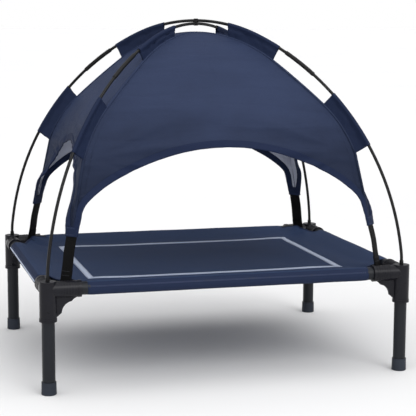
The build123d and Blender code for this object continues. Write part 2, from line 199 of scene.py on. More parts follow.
class Nodes:
    """Short writing for a material's node tree. In names, _ stands for a socket's space."""

    def __init__(self, name):
        self.material = bpy.data.materials.new(name)
        self.material.use_nodes = True
        self.tree = self.material.node_tree

    def put(self, socket, value):
        """Join an output to a socket, or set the socket to a constant."""
        if isinstance(value, bpy.types.NodeSocket):
            self.tree.links.new(value, socket)
        else:
            socket.default_value = value

    def add(self, kind, **values):
        """New node with its sockets and settings."""
        node = self.tree.nodes.new(kind)
        for key, value in values.items():
            socket = key.replace("_", " ")
            if socket in node.inputs:
                self.put(node.inputs[socket], value)
            else:
                setattr(node, key, value)
        return node

    def finish(self, **values):
        """Put the values in the shader's sockets and give back the material."""
        shader = self.tree.nodes["Principled BSDF"]
        for key, value in values.items():
            self.put(shader.inputs[key.replace("_", " ")], value)
        return self.material

    def math(self, operation, *values):
        node = self.add("ShaderNodeMath", operation=operation)
        for socket, value in zip(node.inputs, values):
            self.put(socket, value)
        return node.outputs[0]

    def scaled(self, value, factor, offset):
        """value * factor + offset"""
        return self.math("ADD", self.math("MULTIPLY", value, factor), offset)

    def blend(self, first, share, second, other_share):
        """first * share + second * other_share"""
        return self.scaled(first, share, self.math("MULTIPLY", second, other_share))

    def wave(self, value, pitch):
        """Sine of a length, one turn for each pitch."""
        return self.math("SINE", self.math("MULTIPLY", value, math.tau / pitch))

    def noise(self, scale, detail=3.0, roughness=0.55):
        place = self.add("ShaderNodeTexCoord").outputs["Object"]
        return self.add("ShaderNodeTexNoise", Scale=scale, Detail=detail, Roughness=roughness,
                        Vector=place).outputs["Fac"]

    def ramp(self, factor, *stops):
        """Colour between two (place, colour) stops."""
        node = self.add("ShaderNodeValToRGB", Fac=factor)
        for element, (place, colour) in zip(node.color_ramp.elements, stops):
            element.position = place
            element.color = (*colour, 1.0)
        return node.outputs["Color"]

    def tones(self, factor, colour, *stops):
        """Shades of one colour between two (place, brightness) stops."""
        return self.ramp(factor, *[(place, shade(colour, bright)) for place, bright in stops])

    def multiply(self, first, second, factor=1.0):
        """Product of two colours, mixed in by a factor."""
        node = self.add("ShaderNodeMix", data_type="RGBA", blend_type="MULTIPLY", Factor=factor)
        self.put(node.inputs[6], first)
        self.put(node.inputs[7], second)
        return node.outputs[2]

    def bump(self, height, distance, strength, **below):
        node = self.add("ShaderNodeBump", Strength=strength, Distance=distance, Height=height, **below)
        return node.outputs["Normal"]

    def cloth_place(self):
        """The cloth's own metric coordinates: as one output, and its two parts."""
        place = self.add("ShaderNodeUVMap", uv_map="Cloth").outputs["UV"]
        split = self.add("ShaderNodeSeparateXYZ", Vector=place)
        return place, split.outputs["X"], split.outputs["Y"]


def cloth_material(name, colour, thread=0.0006, relief=0.00012, variation=0.10, roughness=0.78,
                   gloss_level=0.12, fade=None, wrinkle=0.0):
    """Plain weave in the cloth's own coordinates, with soft colour and gloss variation, and painted shade in
    the weave's dips.

    fade gives painted shade, darker towards the bottom: it is the height of the dark end, the height of the
    full colour and the dark end's tone;
    with it, long folds of depth wrinkle show below the full colour, with painted shade in their hollows.
    """
    n = Nodes(name)
    place, across, along = n.cloth_place()
    warp, weft = n.wave(across, 2 * thread), n.wave(along, 2 * thread)
    rounds = n.math("ADD", n.math("ABSOLUTE", warp), n.math("ABSOLUTE", weft))
    weave = n.blend(n.math("MULTIPLY", warp, weft), 0.35, rounds, 0.35)
    cloudy = n.noise(9.0, 4.0)
    slub = n.noise(420.0, 2.0)
    tone = n.blend(cloudy, 0.6, slub, 0.4)
    colours = n.tones(tone, colour, (0.30, 1 - variation), (0.70, 1 + variation))
    # Painted shade in the weave's dips: the lower threads are darker.
    weave_shade = n.ramp(weave, (0.15, (0.62, 0.62, 0.64)), (0.75, WHITE))
    result = n.multiply(colours, weave_shade, 0.35)
    coarse = n.bump(n.noise(55.0, 4.0, 0.6), 0.0009, 0.35)
    # Painted shade: the colour darkens towards the bottom of the canopy by height, and in the hollows of the
    # long folds lower down.
    if fade is not None:
        low, high, deep = fade
        spot = n.add("ShaderNodeSeparateXYZ", Vector=n.add("ShaderNodeTexCoord").outputs["Object"])
        height = n.scaled(cloudy, 0.06, spot.outputs["Z"])
        level = n.add("ShaderNodeMapRange", interpolation_type="SMOOTHSTEP", From_Min=low,
                      From_Max=high, Value=height).outputs[0]
        result = n.multiply(result, n.ramp(level, (0.0, (deep, deep, deep)), (1.0, WHITE)))
        stretch = n.add("ShaderNodeVectorMath", operation="MULTIPLY")
        n.put(stretch.inputs[0], place)
        n.put(stretch.inputs[1], (4.0, 22.0, 0.0))
        folds = n.add("ShaderNodeTexNoise", Scale=1.0, Detail=2.5, Roughness=0.45, Distortion=0.6,
                      Vector=stretch.outputs[0]).outputs["Fac"]
        low_down = n.math("SUBTRACT", 1.0, n.math("MULTIPLY", level, 0.72))
        # Painted shade in the hollows of the long folds, strongest low down.
        fold_shade = n.ramp(folds, (0.40, (0.74, 0.75, 0.77)), (0.60, WHITE))
        result = n.multiply(result, fold_shade, low_down)
        coarse = n.bump(n.math("MULTIPLY", folds, low_down), wrinkle, 1.0, Normal=coarse)
    return n.finish(
        Base_Color=result, Roughness=n.scaled(cloudy, 0.12, roughness - 0.06),
        Normal=n.bump(weave, relief, 0.8, Normal=coarse), Sheen_Weight=0.05, Sheen_Roughness=0.5,
        Sheen_Tint=(*shade(colour, 4.0), 1.0), Specular_IOR_Level=gloss_level)


def webbing_material(name, colour):
    """Ribbed woven webbing: raised herring ribs along the band, painted lighter on the ribs and darker in
    the grooves.
    """
    n = Nodes(name)
    _, across, along = n.cloth_place()
    ribs = n.wave(across, 0.0025)
    twill = n.math("SINE", n.blend(along, math.tau / 0.0016, ribs, 1.4))
    height = n.blend(ribs, 0.3, twill, 0.5)
    # Painted highlight on the raised ribs and painted shade in the grooves, mixed with random tone.
    tone = n.scaled(height, 0.4, n.noise(300.0, 2.0))
    return n.finish(Base_Color=n.tones(tone, colour, (0.2, 0.55), (0.9, 1.7)), Roughness=0.62,
                    Normal=n.bump(height, 0.0003, 0.9), Specular_IOR_Level=0.1)


def moulded_material(name, colour, roughness):
    """Injection moulded plastic: fine spark texture, faint flow tone, paler scuffs."""
    n = Nodes(name)
    flow = n.noise(14.0, 4.0)
    scuff = n.noise(95.0, 6.0, 0.7)
    tone = n.blend(flow, 0.75, scuff, 0.25)
    return n.finish(Base_Color=n.tones(tone, colour, (0.32, 0.80), (0.68, 1.30)),
                    Roughness=n.scaled(scuff, 0.22, roughness - 0.11),
                    Normal=n.bump(n.noise(900.0, 2.0), 0.00006, 0.6), Specular_IOR_Level=0.2)


def painted_material(name, colour, roughness=0.42):
    """Powder coat on steel tube: orange peel, faint dust tone, small rub marks."""
    n = Nodes(name)
    dust = n.noise(11.0, 5.0, 0.65)
    rub = n.noise(140.0, 5.0, 0.7)
    tone = n.blend(dust, 0.7, rub, 0.3)
    return n.finish(Base_Color=n.tones(tone, colour, (0.35, 0.88), (0.70, 1.22)),
                    Roughness=n.scaled(rub, 0.20, roughness - 0.10),
                    Normal=n.bump(n.noise(650.0, 2.0), 0.00008, 0.5), Specular_IOR_Level=0.26)


def rod_material(name, colour):
    """Pultruded glass-fibre rod: fine streaks under a worn gloss."""
    n = Nodes(name)
    streak = n.noise(260.0, 5.0, 0.7)
    cloud = n.noise(20.0, 3.0)
    tone = n.blend(streak, 0.6, cloud, 0.4)
    return n.finish(Base_Color=n.tones(tone, colour, (0.35, 0.7), (0.7, 1.5)),
                    Roughness=n.scaled(streak, 0.25, 0.22),
                    Normal=n.bump(streak, 0.00006, 0.5), Specular_IOR_Level=0.28)


def thread_material(name, colour):
    """Twisted sewing thread."""
    n = Nodes(name)
    twist = n.noise(2500.0, 2.0)
    return n.finish(Base_Color=n.tones(twist, colour, (0.3, 0.7), (0.7, 1.2)), Roughness=0.7,
                    Normal=n.bump(twist, 0.00008, 0.6))


# The canopy cloth is painted darker towards its bottom and in its lower folds: painted shade.
CANOPY_CLOTH = cloth_material("canopy_cloth", linear(46, 56, 82), roughness=0.62, gloss_level=0.09,
                              fade=(0.36, 0.62, 0.46), wrinkle=0.014)
# Pale coated lining, its colour raised further as painted light for light shining through the thin cloth.
CANOPY_LINING = cloth_material("canopy_lining", linear(190, 194, 208), roughness=0.5,
                               variation=0.06)
SLEEVE_CLOTH = cloth_material("sleeve_cloth", linear(26, 36, 61), roughness=0.68)
BINDING_CLOTH = cloth_material("binding_cloth", linear(26, 36, 62), roughness=0.7, thread=0.0008)
MAT_CLOTH = cloth_material("mat_cloth", linear(41, 55, 83), thread=0.0011, relief=0.0002,
                           roughness=0.7, variation=0.08)
# Darker copy of the mat cloth: painted shade on the hem's outer face, its underside and the corner binding.
MAT_SHADED_CLOTH = cloth_material("mat_shaded_cloth", linear(31, 41, 66), thread=0.0011, relief=0.0002,
                           roughness=0.7, variation=0.08)
TAPE_CLOTH = cloth_material("tape_cloth", linear(178, 188, 208), thread=0.0009, relief=0.00015,
                            roughness=0.6, variation=0.05)
WEBBING = webbing_material("webbing", linear(7, 7, 8))
CONNECTOR = moulded_material("connector_plastic", linear(18, 18, 24), roughness=0.30)
FOOT = moulded_material("foot_plastic", linear(39, 44, 53), roughness=0.55)
TIP = moulded_material("tip_plastic", linear(12, 12, 13), roughness=0.4)
TUBE = painted_material("frame_paint", linear(18, 21, 27))
ROD = rod_material("pole_rod", linear(4, 4, 5))
FERRULE = painted_material("ferrule_paint", linear(3, 3, 4), roughness=0.30)
NAVY_THREAD = thread_material("navy_thread", linear(58, 70, 102))
PALE_THREAD = thread_material("pale_thread", linear(130, 140, 160))
GREY_THREAD = thread_material("grey_thread", linear(60, 62, 68))


# ==== poles and canopy profile, as formulas ================================================
def pole_radii(crown_z):
    """Radii of a pole's main arc and crown arc, from its tip to its crown."""
    across = DIAGONAL - POLE_BASE_ARC_R * (1 - math.cos(POLE_BASE_ANGLE))
    up = crown_z - TIP_TOP - POLE_BASE_ARC_R * math.sin(POLE_BASE_ANGLE)
    a = math.cos(POLE_BASE_ANGLE) - math.cos(POLE_CROWN_ANGLE)
    b = math.cos(POLE_CROWN_ANGLE)
    c = math.sin(POLE_CROWN_ANGLE) - math.sin(POLE_BASE_ANGLE)
    d = 1 - math.sin(POLE_CROWN_ANGLE)
    det = a * d - b * c
    return (across * d - b * up) / det, (a * up - c * across) / det


def pole_at(crown_z, s):
    """Point (s, z) and tangent angle of a pole above its base arc, at s from the centre."""
    main_r, crown_r = pole_radii(crown_z)
    knee_s = crown_r * math.cos(POLE_CROWN_ANGLE)
    if s <= knee_s:
        turn = math.acos(s / crown_r)
        return s, crown_z - crown_r * (1 - math.sin(turn)), turn
    knee_z = crown_z - crown_r * (1 - math.sin(POLE_CROWN_ANGLE))
    turn = math.acos(math.cos(POLE_CROWN_ANGLE) + (s - knee_s) / main_r)
    return s, knee_z - main_r * (math.sin(POLE_CROWN_ANGLE) - math.sin(turn)), turn


def ridge_knot(sleeve_end):
    """Point (s, z) of the ridge seam below one end of a sleeve."""
    s, z, turn = pole_at((CROWN_POLE_A + CROWN_POLE_B) / 2, sleeve_end[0])
    return s - sleeve_end[1] * math.cos(turn), z - sleeve_end[1] * math.sin(turn)


def tangent_arcs(knots, steps=60):
    """Points along arcs through the knots, each leaving along the last, the first level."""
    points = [np.array(knots[0], float)]
    heading = np.array([1.0, 0.0])
    for start, end in zip(knots, knots[1:]):
        start, end = np.array(start, float), np.array(end, float)
        chord = end - start
        length = np.linalg.norm(chord)
        half = math.atan2(heading[0] * chord[1] - heading[1] * chord[0], float(heading @ chord))
        for step in range(1, steps + 1):
            turn = 2 * half * step / steps
            reach = length * (math.sin(turn / 2) / math.sin(half) if abs(half) > 1e-6 else step / steps)
            angle = math.atan2(heading[1], heading[0]) + turn / 2
            points.append(start + reach * np.array([math.cos(angle), math.sin(angle)]))
        angle = math.atan2(heading[1], heading[0]) + 2 * half
        heading = np.array([math.cos(angle), math.sin(angle)])
    return np.array(points)


def by_length(points):
    """Distance along a polyline at each of its points."""
    steps = np.linalg.norm(np.diff(points, axis=0), axis=1)
    return np.concatenate([[0.0], np.cumsum(steps)])


def canopy_profile():
    """Ridge line (s, z) from the crown to the canopy's corner, evenly and finely sampled."""
    knots = [(0.0, CROWN_Z)]
    knots += [ridge_knot(end) for end in (UPPER_SLEEVE[1], LOWER_SLEEVE[0], LOWER_SLEEVE[1])]
    points = np.vstack([tangent_arcs(knots), [(CORNER_S, CORNER_Z)]])
    along = by_length(points)
    even = np.linspace(0, along[-1], 600)
    return np.stack([np.interp(even, along, points[:, 0]), np.interp(even, along, points[:, 1])], 1)


PROFILE = canopy_profile()
PROFILE_LENGTH = by_length(PROFILE)[-1]


def profile_at(v):
    """(s, z) at a share v of the ridge's length from the crown."""
    place = np.clip(v, 0, 1) * (len(PROFILE) - 1)
    index = np.arange(len(PROFILE))
    return np.interp(place, index, PROFILE[:, 0]), np.interp(place, index, PROFILE[:, 1])


def profile_at_height(z):
    """s of the ridge at a height."""
    return float(np.interp(-z, -PROFILE[:, 1], PROFILE[:, 0]))


class Side:
    """One of the canopy's four panels: where it faces and how its arched mouth is cut."""

    def __init__(self, name, outward, arch, seed, shift=0.0):
        self.name = name
        self.outward = Vector((*outward, 0))
        self.across = Vector((-outward[1], outward[0], 0))
        faces_x = abs(outward[0]) > 0.5
        self.out_scale = COS_D if faces_x else SIN_D
        self.across_scale = SIN_D if faces_x else COS_D
        self.faces_x = faces_x
        self.rail = self.outward * (HALF_X if faces_x else HALF_Y) + upward(RAIL_Z)
        curve = tangent_arcs(arch[:-1])
        self.arch = np.vstack([curve, [arch[-1]]])
        self.seed = seed
        self.shift = shift
        ridge_s, ridge_z = ridge_knot(LOWER_SLEEVE[1])
        self.anchor = (ridge_s * self.across_scale, ridge_z)
        self.pull = 0.0016 if faces_x else 0.0040
        self.pleats = 3.5 if faces_x else 2.5
        self.flare = -0.011 if faces_x else 0.0015
        self.flare_reach = 0.040 if faces_x else 0.020

    def lean(self, across):
        """How far the mouth stands off centre at a distance across, none at its corners."""
        return self.shift * (1 - np.minimum(1.0, np.abs(across) / self.arch[-1, 0]) ** 4)

    def arch_height(self, across):
        across = np.abs(across - self.lean(across))
        return np.interp(across, self.arch[:, 0], self.arch[:, 1], right=CORNER_Z)

    def mouth_share(self, u):
        """Share of the profile at which a column at u (-1..1 between the ridges) meets the mouth."""
        v = np.linspace(0.3, 1, 500)
        s, z = profile_at(v)
        below = z <= self.arch_height(u * self.across_scale * s)
        return v[np.argmax(below)] if below.any() else 1.0

    def point(self, across, z, lift=0.0):
        """Point on the panel at a distance across and a height, with its folds, raised by lift."""
        s = profile_at_height(z)
        ds = (profile_at_height(z - 0.002) - profile_at_height(z + 0.002)) * self.out_scale
        slope = Vector((ds, -0.004))
        normal = Vector((-slope.y, slope.x)).normalized()
        share = min(1.0, abs(across) / max(1e-4, self.across_scale * s))
        out = self.out_scale * s
        rise = self.folds(across, z, share) + lift
        place = self.outward * (out + normal.x * rise) + self.across * across
        from_ridge = self.across_scale * s - abs(across)
        flat = smoothstep(0.405, 0.318, z) * math.exp(-(from_ridge / 0.055) ** 2)
        inward = self.across * math.copysign(1, across)
        tongue = (self.outward * (out + (from_ridge + rise) * ROOT_HALF)
                  + inward * (self.across_scale * s + (rise - from_ridge) * ROOT_HALF))
        return place.lerp(tongue, flat) + upward(z + normal.y * rise)

    def over_mouth(self, across, z):
        """Distance from the mouth's edge."""
        across = abs(across - self.lean(across))
        return float(np.hypot(self.arch[:, 0] - across, self.arch[:, 1] - z).min())

    def folds(self, across, z, share):
        """Height of the cloth's folds over the taut panel, in metres."""
        x, q = across, self.seed + (0.6 if across > 0 else 0.0)
        edge = self.over_mouth(across, z)
        free = 1 - share ** 5
        low = smoothstep(0.56, 0.44, z)
        bow = 0.004 * (1 - share ** 2) * smoothstep(0.69, 0.60, z)
        cloud = 0.0016 * ripple(x, z, q, 9, q) + 0.0007 * ripple(x, z, q, 24, q + 2)
        reach = math.hypot(self.anchor[0] - abs(x), z - self.anchor[1])
        ray = math.degrees(math.atan2(z - self.anchor[1], self.anchor[0] - abs(x)))
        ray += 5 * ripple(x, z, q, 7, q + 5)
        window = smoothstep(-34, -18, ray) * smoothstep(30, 14, ray)
        height = min(self.pull, 0.032 * reach) * math.exp(-(reach / 0.24) ** 2)
        crease = 1 - 2 * abs(math.sin(ray * math.pi / RAY_STEP + q)) ** 1.5
        pull = height * crease * window
        pleat_share = share * self.pleats + 1.6 * ripple(x, z, q, 8, q + 9)
        tongue = smoothstep(0.415, 0.355, z)
        pleat = 0.0034 * math.sin(pleat_share * math.tau) * tongue * min(1.0, 6 * (1 - share))
        seam = math.exp(-(1 - share) * self.across_scale * 0.3 / 0.012)
        run = z / 0.017 + 2 * ripple(x, z, q, 16, q + 1)
        pucker = 0.0008 * math.sin(run * math.tau) * seam * min(1.0, 20 * (1 - share))
        hem = 0.0007 * math.sin(x * math.tau / 0.030 + 3 * ripple(x, z, q, 12, q)) * math.exp(-edge / 0.018)
        flare = self.flare * math.exp(-edge / self.flare_reach) * (1 - share ** 6)
        flare *= smoothstep(0.345, 0.430, z)
        if self.faces_x:
            flare *= 0.2 + 0.8 * smoothstep(-0.10, 0.06, across * self.across.y)
        return free * (bow + cloud * (0.5 + low) + pull + hem) + pleat + pucker + flare


SIDES = {
    "front": Side("front", (0, -1), FRONT_ARCH, 1.7, 0.003),
    "right": Side("right", (1, 0), SIDE_ARCH, 4.1),
    "back": Side("back", (0, 1), FRONT_ARCH, 7.9, 0.010),
    "left": Side("left", (-1, 0), SIDE_ARCH, 2.6),
}


def canopy_panel(side, columns=121, rows=90):
    """One panel as a grid from the crown to its mouth, and its flat area."""
    spread = np.linspace(-1, 1, columns)
    spread = np.sign(spread) * (1 - (1 - np.abs(spread)) ** 1.25)
    points, uvs, flat = [], [], np.zeros((columns, rows, 3))
    for i, u in enumerate(spread):
        end = side.mouth_share(u)
        for j in range(rows):
            v = end * (j / (rows - 1)) ** 0.9
            s, z = profile_at(v)
            across = u * side.across_scale * s
            points.append(side.point(across, float(z)))
            uvs.append((across, v * PROFILE_LENGTH))
            flat[i, j] = (across, side.out_scale * s, z)
    a = flat[1:, :-1] - flat[:-1, :-1]
    b = flat[:-1, 1:] - flat[:-1, :-1]
    area = float(np.linalg.norm(np.cross(a, b), axis=2).sum())
    return mesh_piece(f"panel_{side.name}", points, grid_faces(columns, rows), uvs), area


def canopy_cloth():
    """The whole canopy as one sewn sheet, navy outside and pale coated inside, the inside made paler still
    as painted light for light shining through the thin cloth.
    """
    made = [canopy_panel(side) for side in SIDES.values()]
    cloth = join("canopy_cloth", [obj for obj, _ in made])
    merge_close(cloth)
    cloth.data.materials.append(CANOPY_CLOTH)
    solidify(cloth, 0.0006, -1.0, CANOPY_LINING)
    return cloth, sum(area for _, area in made)


def arch_hem(side, steps=170, across_steps=6):
    """Doubled hem along a mouth: a band with a rolled edge, following the panel's folds."""
    arch = side.arch
    length = by_length(arch)
    even = np.linspace(0, length[-1], steps)
    half = np.stack([np.interp(even, length, arch[:, i]) for i in (0, 1)], 1)
    line = np.vstack([half[::-1] * (-1, 1), half[1:]])
    line[:, 0] += side.lean(line[:, 0])
    tangent = np.gradient(line, axis=0)
    tangent /= np.linalg.norm(tangent, axis=1)[:, None]
    normal = np.stack([-tangent[:, 1], tangent[:, 0]], 1)
    along = by_length(line)
    section = [(0.0, -0.0020), (-0.0008, 0.0), (0.0, 0.0013)]
    section += [(HEM_W * k / across_steps, 0.0013) for k in range(1, across_steps + 1)]
    section += [(HEM_W + 0.0005, 0.0003), (HEM_W, -0.0020)]
    section += [(HEM_W * k / across_steps, -0.0020) for k in range(across_steps - 1, 0, -1)]
    points, uvs = [], []
    for place, out, distance in zip(line, normal, along):
        for up, lift in section:
            across, z = place + out * up
            limit = side.across_scale * profile_at_height(z)
            across = float(np.clip(across, -limit, limit))
            points.append(side.point(across, float(max(z, CORNER_Z)), lift))
            uvs.append((distance, up + (0.02 if lift < 0 else 0.0)))
    return mesh_piece(f"canopy_hem_cloth_{side.name}", points,
                      grid_faces(len(line), len(section), close_columns=True), uvs, BINDING_CLOTH)


def diagonal(corner):
    """Direction from the bed's centre out to a corner, and the level direction square to it."""
    side_x, side_y = CORNERS[corner]
    direction = Vector((side_x * COS_D, side_y * SIN_D, 0))
    return direction, Vector((-direction.y, direction.x, 0))


def seam_cord(corner):
    """Felled ridge seam standing on the canopy between the sleeves."""
    direction, sideways = diagonal(corner)
    points, uvs = [], []
    rows = 240
    section = [(-0.0034, -0.0016), (-0.0030, 0.0004), (-0.0008, 0.0012), (0.0008, 0.0012),
               (0.0030, 0.0004), (0.0034, -0.0016)]
    for share in np.linspace(0, 1, rows):
        s, z = profile_at(share)
        s2, z2 = profile_at(min(1.0, share + 0.004))
        s1, z1 = profile_at(max(0.0, share - 0.004))
        tangent = Vector((s2 - s1, z2 - z1)).normalized()
        up = Vector((-tangent.y, tangent.x))
        for aside, rise in section:
            points.append(direction * (s + up.x * rise) + sideways * aside
                          + upward(z + up.y * rise))
            uvs.append((aside, share * PROFILE_LENGTH))
    seam = mesh_piece(f"ridge_seam_{corner}", points, grid_faces(rows, len(section)), uvs, CANOPY_CLOTH)
    solidify(seam, 0.0005)
    return seam


def pole_sleeve(corner, level, ends):
    """Doubled flap from the ridge up round the pole, with a stitched pocket."""
    side_x, side_y = CORNERS[corner]
    crown_z = CROWN_POLE_A if side_x * side_y < 0 else CROWN_POLE_B
    direction, sideways = diagonal(corner)
    rows, ring = 46, 14
    pocket_r = POLE_R + 0.0009
    points, uvs = [], []
    (s0, drop0), (s1, drop1) = ends
    for index in range(rows):
        t = index / (rows - 1)
        s, z, _ = pole_at(crown_z, s0 + (s1 - s0) * t)
        foot = Vector(ridge_knot((s0 + (s1 - s0) * t, drop0 + (drop1 - drop0) * t)))
        foot.x = profile_at_height(foot.y)
        top = Vector((s, z))
        reach = (top - foot).length
        up = (top - foot).normalized()
        wave = 0.0014 * ripple(s, z, 0, 55, side_x + 2 * side_y)
        tuck = 0.0007 * math.sin(index * 0.9 + 2 * ripple(s, z, 0, 30, side_y))
        flanks = []
        for flank in (1, -1):
            rise = [(-0.0015, 0.0022), (0.002, 0.0012), (reach * 0.2, 0.0011 + tuck),
                    (reach * 0.4, 0.0011 + wave * flank), (reach * 0.6, 0.0011 + wave * flank),
                    (reach - 0.0085, 0.0008), (reach - 0.0060, 0.0022 + 0.4 * tuck)]
            flanks.append([(r, flank * a + (wave if 0.2 < r / reach < 0.7 else 0)) for r, a in rise])
        arc = []
        for k in range(ring + 1):
            angle = math.radians(-140 + 280 * k / ring)
            arc.append((reach + pocket_r * math.cos(angle), -pocket_r * math.sin(angle)))
        outline = flanks[0] + arc + flanks[1][::-1]
        for rise, aside in outline:
            place = foot + up * rise
            points.append(direction * place.x + sideways * aside + upward(place.y))
            uvs.append((t * 0.12, rise + (0.1 if aside < 0 else 0)))
    sleeve = mesh_piece(f"pole_sleeve_{level}_{corner}", points, grid_faces(rows, len(outline)), uvs,
                        SLEEVE_CLOTH)
    solidify(sleeve, 0.0006, 0.0)
    return sleeve


# ==== stitches =============================================================================
def stitches(route, normals, material, pitch=0.0042, length=0.0030, width=0.0008):
    """A row of small raised stitches laid along a route of points."""
    route = np.array(route, float)
    along = by_length(route)
    count = max(1, int(along[-1] / pitch))
    points, faces = [], []
    normals = np.array(normals, float)
    for index in range(count):
        middle = (index + 0.5) * pitch
        ends = [np.array([np.interp(middle + shift, along, route[:, i]) for i in range(3)])
                for shift in (-length / 2, length / 2)]
        up = np.array([np.interp(middle, along, normals[:, i]) for i in range(3)])
        up /= np.linalg.norm(up)
        line = ends[1] - ends[0]
        if np.linalg.norm(line) < length / 3:
            continue
        line /= np.linalg.norm(line)
        aside = np.cross(line, up)
        start = len(points)
        for share, size in ((0.0, 0.35), (0.2, 1.0), (0.8, 1.0), (1.0, 0.35)):
            centre = ends[0] + (ends[1] - ends[0]) * share
            for k in range(5):
                angle = math.pi * k / 4
                points.append(centre + aside * (math.cos(angle) * width / 2 * size)
                              + up * (math.sin(angle) * width * 0.5 * size))
        faces += [tuple(start + i for i in f) for f in grid_faces(4, 5)]
        faces += [tuple(start + i for i in (4, 3, 2, 1, 0)), tuple(start + 15 + i for i in range(5))]
    return mesh_piece("row", points, faces, material=material)


# ==== straps ===============================================================================
def band(name, centre, width_dir, width, thickness, material):
    """Webbing band with soft edges along centreline points, width across width_dir."""
    centre = [Vector(p) for p in centre]
    section = [(-0.5, 0.25), (-0.47, 0.5), (-0.16, 0.5), (0.16, 0.5), (0.47, 0.5), (0.5, 0.25),
               (0.5, -0.25), (0.47, -0.5), (0.16, -0.5), (-0.16, -0.5), (-0.47, -0.5), (-0.5, -0.25)]
    points, uvs, along = [], [], 0.0
    for index, place in enumerate(centre):
        before = centre[max(0, index - 1)]
        after = centre[min(len(centre) - 1, index + 1)]
        tangent = (after - before).normalized()
        normal = width_dir.cross(tangent).normalized()
        if index:
            along += (place - centre[index - 1]).length
        for aside, rise in section:
            points.append(place + width_dir * (aside * width) + normal * (rise * thickness))
            uvs.append((aside * width + (0.05 if rise < 0 else 0), along))
    return mesh_piece(name, points, capped_faces(len(centre), len(section)), uvs, material)


def bend_route(knots, steps=10):
    """Smooth curve through knots (Catmull-Rom)."""
    knots = [np.array(k, float) for k in knots]
    padded = [2 * knots[0] - knots[1], *knots, 2 * knots[-1] - knots[-2]]
    points = []
    for a, b, c, d in zip(padded, padded[1:], padded[2:], padded[3:]):
        for step in range(steps):
            t = step / steps
            points.append(0.5 * (2 * b + (c - a) * t + (2 * a - 5 * b + 4 * c - d) * t * t
                                 + (3 * b - a - 3 * c + d) * t ** 3))
    points.append(knots[-1])
    return points


def corner_frame(corner):
    """Direction of the diagonal, and the width direction of a strap facing out at 45 degrees."""
    side_x, side_y = CORNERS[corner]
    return diagonal(corner)[0], Vector((-side_y * ROOT_HALF, side_x * ROOT_HALF, 0))


def strap_s(z):
    """How far out along the diagonal a strap runs, at a height below the canopy's corner."""
    return CORNER_S + (CORNER_Z - z) * (STRAP_END_S - CORNER_S) / (CORNER_Z - STRAP_LOW_Z)


def corner_strap(corner):
    """Webbing from inside the canopy's corner down to the mat's corner, with two rows of stitches near its
    end.
    """
    direction, sideways = corner_frame(corner)
    knots = []
    for z, inset in ((CORNER_Z + 0.0155, 0.0010), (CORNER_Z + 0.006, 0.0010),
                     (CORNER_Z - 0.004, 0.0010), (0.270, -0.0006), (0.245, 0.0004), (0.222, 0.0),
                     (STRAP_LOW_Z + 0.004, 0.0)):
        s = strap_s(z) if z < CORNER_Z else profile_at_height(z)
        knots.append(direction * (s - inset) + upward(z))
    route = bend_route(knots, 8)
    strap = band(f"strap_{corner}", route, sideways, STRAP_W, 0.0014, WEBBING)
    rows = []
    normal = direction + upward(0.2)
    for z in (0.2335, 0.2255):
        s = strap_s(z) + 0.0009
        ends = [direction * s + sideways * (f * STRAP_W * 0.42) + upward(z) for f in (-1, 1)]
        rows.append(stitches(ends, [normal, normal], GREY_THREAD, 0.0036, 0.0027, 0.0007))
    tack = join(f"strap_stitches_{corner}", rows)
    return strap, tack


def corner_cuff(corner):
    """Doubled cloth end of the canopy's corner, sewn over the top of its strap."""
    direction, sideways = corner_frame(corner)
    knots = []
    for rise in (0.018, 0.011, 0.004, -0.0015):
        z = CORNER_Z + rise
        s = profile_at_height(z) if z > CORNER_Z else CORNER_S
        knots.append(direction * (s - 0.0004) + upward(z))
    cuff = band(f"corner_cuff_{corner}", bend_route(knots, 4), sideways, STRAP_W + 0.005, 0.0042,
                SLEEVE_CLOTH)
    rows = []
    for rise in (0.0020, 0.0150):
        z = CORNER_Z + rise
        middle = direction * (profile_at_height(z) + 0.0017) + upward(z)
        ends = [middle + sideways * (f * STRAP_W * 0.5) for f in (-1, 1)]
        rows.append(stitches(ends, [direction, direction], NAVY_THREAD, 0.0034, 0.0025, 0.0006))
    return cuff, join(f"cuff_stitches_{corner}", rows)


def anchor_tab(corner):
    """Tab stitched under the mat's corner, turned up behind the strap."""
    direction, sideways = corner_frame(corner)
    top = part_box(f"strap_anchor_{corner}")[1].z
    knots = []
    for s, z in ((0.389, None), (0.398, None), (0.4052, None), (0.4085, 0.2128),
                 (None, 0.2180), (None, 0.2260), (None, top - 0.001)):
        if z is None:
            z = mat_height(s * COS_D, s * SIN_D) - 0.0045
        if s is None:
            s = strap_s(z) - 0.0019
        knots.append(direction * s + upward(z))
    return band(f"anchor_tab_{corner}", bend_route(knots, 6), sideways, STRAP_W * 0.96, 0.0013, WEBBING)


# ==== mat ==================================================================================
TONGUE_EDGE = 0.017          # rail axis to the start of the mat's free corner edge
TONGUE_S = 0.4055            # bed centre to the middle of that edge, along the diagonal
SEAM_EASE = 0.016            # half the stretch over which the hem's slope fades into the mat
MAT_SAG = 0.0028
TAPE_W = 0.0135
CORNER_LIFT_REACH = 0.026
BACK_CORNER_LIFT = 0.009
FRONT_CORNER_LIFT = 0.002
REACH = math.acos(HEM_R / HEM_SEAM)
TOUCH = (HEM_R * math.cos(REACH), HEM_R * math.sin(REACH))


def rise_to_rail(deep):
    """Height of the cloth's top ply over the mat's plane, at a distance in from the rail axis."""
    if deep <= TOUCH[0]:
        return math.sqrt(HEM_R ** 2 - deep ** 2)
    slope = TOUCH[1] / (HEM_SEAM - TOUCH[0])
    if deep < HEM_SEAM - SEAM_EASE:
        return (HEM_SEAM - deep) * slope
    if deep < HEM_SEAM + SEAM_EASE:
        return slope * (HEM_SEAM + SEAM_EASE - deep) ** 2 / (4 * SEAM_EASE)
    return 0.0


